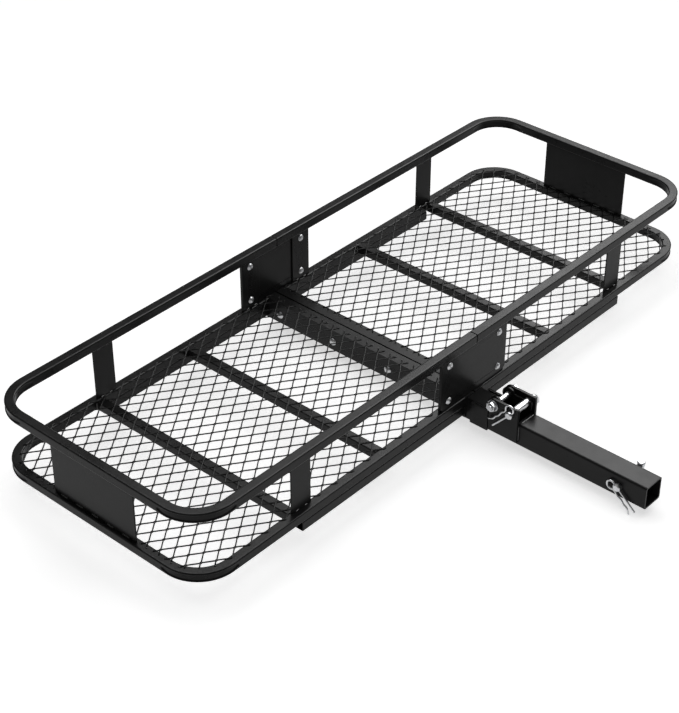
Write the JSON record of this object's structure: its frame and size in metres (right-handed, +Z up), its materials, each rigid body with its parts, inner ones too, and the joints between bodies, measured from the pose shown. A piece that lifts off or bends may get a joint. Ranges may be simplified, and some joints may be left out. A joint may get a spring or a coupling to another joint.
{
  "type": "folding hitch cargo carrier",
  "caption": "Long shallow steel basket with a mesh floor on a square receiver shank; a pivot and lock pin let the basket fold up towards the vehicle.",
  "frame": {"origin": "centre of the hitch pin hole, on the axis of the shank", "axes": "+X across the vehicle along the basket; +Y along the shank, away from the vehicle; +Z up"},
  "size_m": [1.524, 0.9744, 0.2115],
  "materials": {
    "coated_rail": "semi-gloss black powder coat on square steel tube",
    "coated_tube": "semi-gloss black powder coat on heavy square tube",
    "coated_plate": "semi-gloss black powder coat on flat steel",
    "coated_mesh": "black powder coat on expanded mesh",
    "plastic_cap": "matt black moulded plug",
    "zinc_fastener": "bright zinc plate",
    "zinc_pin": "bright zinc plate",
    "spring_wire": "bright zinc plated spring wire"
  },
  "bodies": {
    "shank": {"receiver_shank": "coated_tube", "left_hinge_bracket": "coated_plate", "right_hinge_bracket": "coated_plate", "pivot_bolt": "zinc_fastener", "pivot_nut": "zinc_fastener", "pivot_washers": "zinc_fastener"},
    "basket": {"centre_tube": "coated_tube", "centre_tube_cap": "plastic_cap", "left_hinge_cheek": "coated_plate", "right_hinge_cheek": "coated_plate", "left_hinge_ear": "coated_plate", "right_hinge_ear": "coated_plate", "left_saddle": "coated_plate", "right_saddle": "coated_plate", "saddle_bolts": "zinc_fastener", "saddle_nuts": "zinc_fastener", "left_bottom_rail": "coated_rail", "right_bottom_rail": "coated_rail", "left_top_rail": "coated_rail", "right_top_rail": "coated_rail", "front_left_post": "coated_plate", "front_right_post": "coated_plate", "rear_left_post": "coated_plate", "rear_right_post": "coated_plate", "front_left_splice_post": "coated_plate", "front_right_splice_post": "coated_plate", "rear_left_splice_post": "coated_plate", "rear_right_splice_post": "coated_plate", "front_splice_plate": "coated_plate", "rear_splice_plate": "coated_plate", "splice_bolts": "zinc_fastener", "splice_nuts": "zinc_fastener", "left_end_plate": "coated_plate", "right_end_plate": "coated_plate", "left_outer_floor_bar": "coated_rail", "left_inner_floor_bar": "coated_rail", "right_inner_floor_bar": "coated_rail", "right_outer_floor_bar": "coated_rail", "left_floor_mesh": "coated_mesh", "right_floor_mesh": "coated_mesh", "front_left_support_bar": "coated_rail", "front_right_support_bar": "coated_rail", "rear_left_support_bar": "coated_rail", "rear_right_support_bar": "coated_rail"},
    "lock_pin": {"lock_pin": "zinc_pin"},
    "lock_clip": {"lock_pin_clip": "spring_wire"},
    "hitch_pin": {"hitch_pin": "zinc_pin"},
    "hitch_clip": {"hitch_pin_clip": "spring_wire"}
  },
  "joints": [
    {"name": "basket_fold", "type": "hinge", "parent": "shank", "child": "basket", "pos_m": [0, 0.2934, 0.0452], "axis": [1, 0, 0], "range_deg": [0, 90]},
    {"name": "lock_pin_play", "type": "slide", "parent": "shank", "child": "lock_pin", "axis": [1, 0, 0], "range_m": [0, 0.0022]},
    {"name": "lock_clip_pull", "type": "slide", "parent": "lock_pin", "child": "lock_clip", "axis": [0, -0.6639, 0.7478], "range_m": [0, 0.064]},
    {"name": "hitch_pin_play", "type": "slide", "parent": "shank", "child": "hitch_pin", "axis": [1, 0, 0], "range_m": [0, 0.0022]},
    {"name": "hitch_clip_pull", "type": "slide", "parent": "hitch_pin", "child": "hitch_clip", "axis": [0, 0.7604, 0.6494], "range_m": [0, 0.064]}
  ]
}
